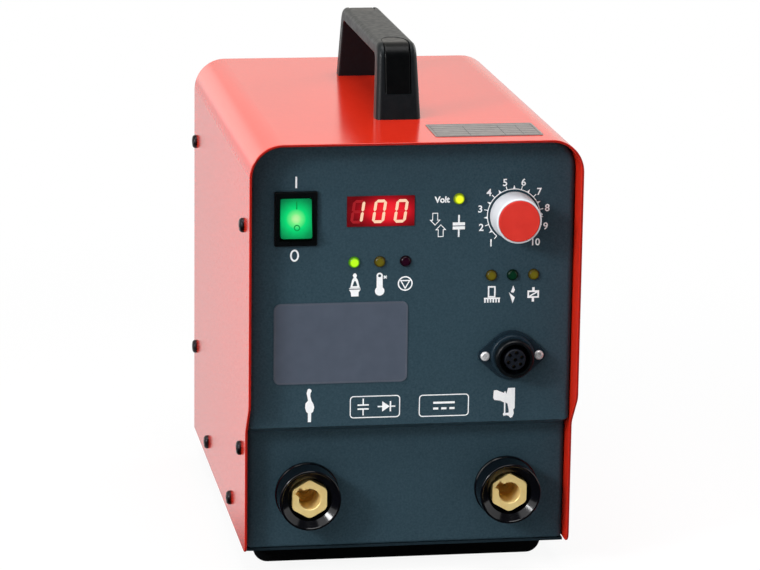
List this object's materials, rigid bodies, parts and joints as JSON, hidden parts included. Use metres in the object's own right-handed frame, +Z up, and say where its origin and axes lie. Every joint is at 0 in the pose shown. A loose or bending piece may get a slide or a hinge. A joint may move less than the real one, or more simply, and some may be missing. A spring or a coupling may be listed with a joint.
{
  "type": "welding machine",
  "caption": "Portable capacitor-discharge welding machine: folded sheet case with bridge handle, stepped control front, rocker switch, display, voltage dial, control socket and cable sockets.",
  "frame": {"origin": "on the ground, under the middle of the whole object's box", "axes": "+Z up, the control front faces -Y, +X to the right as seen from the front"},
  "size_m": [0.2052, 0.3072, 0.3175],
  "materials": {
    "red_powder_coat": "fine textured powder coat",
    "anthracite_coat": "matt powder coat",
    "black_oxide_steel": "black oxide",
    "black_rubber": "matt",
    "black_handle": "fine grain",
    "black_gloss": "glossy",
    "zinc_steel": "zinc plated",
    "label_film": "satin film",
    "plate_film": "satin",
    "rocker_green": "glossy, lit from inside",
    "display_red": "glossy, dark",
    "display_body": "matt",
    "lens_yellow_lit": "glossy, lit",
    "lens_green_lit": "glossy, lit",
    "lens_amber": "glossy",
    "lens_red": "glossy",
    "lens_green": "glossy",
    "board_green": "solder mask",
    "knob_grey": "satin",
    "knob_red": "satin",
    "brass": "machined",
    "copper": "bright",
    "can_aluminium": "sleeved",
    "grey_plastic": "matt",
    "winding": "tape over copper wire",
    "chrome_wire": "bright"
  },
  "bodies": {
    "case": {"hood": "red_powder_coat", "front_panel": "anthracite_coat", "rear_panel": "anthracite_coat", "base_tray": "anthracite_coat", "hood_screws": "black_oxide_steel", "foot_rail_front": "black_rubber", "foot_rail_rear": "black_rubber", "foot_screws": "zinc_steel", "handle": "black_handle", "handle_caps": "black_gloss", "handle_screws": "zinc_steel", "rating_plate": "plate_film", "front_label": "label_film", "switch_housing": "black_gloss", "switch_terminals": "brass", "display_window": "display_red", "display_module": "display_body", "led_volt": "lens_yellow_lit", "led_ready": "lens_green_lit", "led_heat": "lens_amber", "led_stop": "lens_red", "led_contact": "lens_amber", "led_charge": "lens_green", "led_relay": "lens_amber", "control_board": "board_green", "board_standoffs": "zinc_steel", "potentiometer": "zinc_steel", "pot_nut": "zinc_steel", "control_socket_shell": "black_gloss", "control_socket_insert": "grey_plastic", "control_socket_contacts": "brass", "control_socket_screws": "chrome_wire", "weld_socket_left_insulator": "black_gloss", "weld_socket_left_insert": "brass", "weld_socket_left_nut": "brass", "weld_socket_right_insulator": "black_gloss", "weld_socket_right_insert": "brass", "weld_socket_right_nut": "brass", "capacitor_1": "can_aluminium", "capacitor_2": "can_aluminium", "capacitor_3": "can_aluminium", "capacitor_4": "can_aluminium", "capacitor_clamp": "grey_plastic", "bus_bar_positive": "copper", "bus_bar_negative": "copper", "weld_strap": "copper", "thyristor_module": "grey_plastic", "transformer": "winding", "rectifier_bridge": "display_body", "fan_frame": "black_handle", "fan_guard": "chrome_wire", "fan_screws": "black_oxide_steel", "mains_inlet": "black_handle", "inlet_contacts": "zinc_steel", "fuse_drawer": "black_handle"},
    "rocker": {"switch_rocker": "rocker_green"},
    "knob": {"pot_shaft": "zinc_steel", "knob_body": "knob_grey", "knob_cap": "knob_red"},
    "fan": {"fan_rotor": "black_handle"}
  },
  "joints": [
    {"name": "switch_tip", "type": "hinge", "parent": "case", "child": "rocker", "pos_m": [-0.0706, -0.1351, 0.2246], "axis": [1, 0, 0], "range_deg": [0, 20]},
    {"name": "dial_turn", "type": "hinge", "parent": "case", "child": "knob", "pos_m": [0.0608, -0.1354, 0.2239], "axis": [0, 1, 0], "range_deg": [-222, 48]},
    {"name": "fan_spin", "type": "hinge", "parent": "case", "child": "fan", "pos_m": [0.045, 0.1366, 0.2075], "axis": [0, 1, 0], "continuous": true}
  ]
}
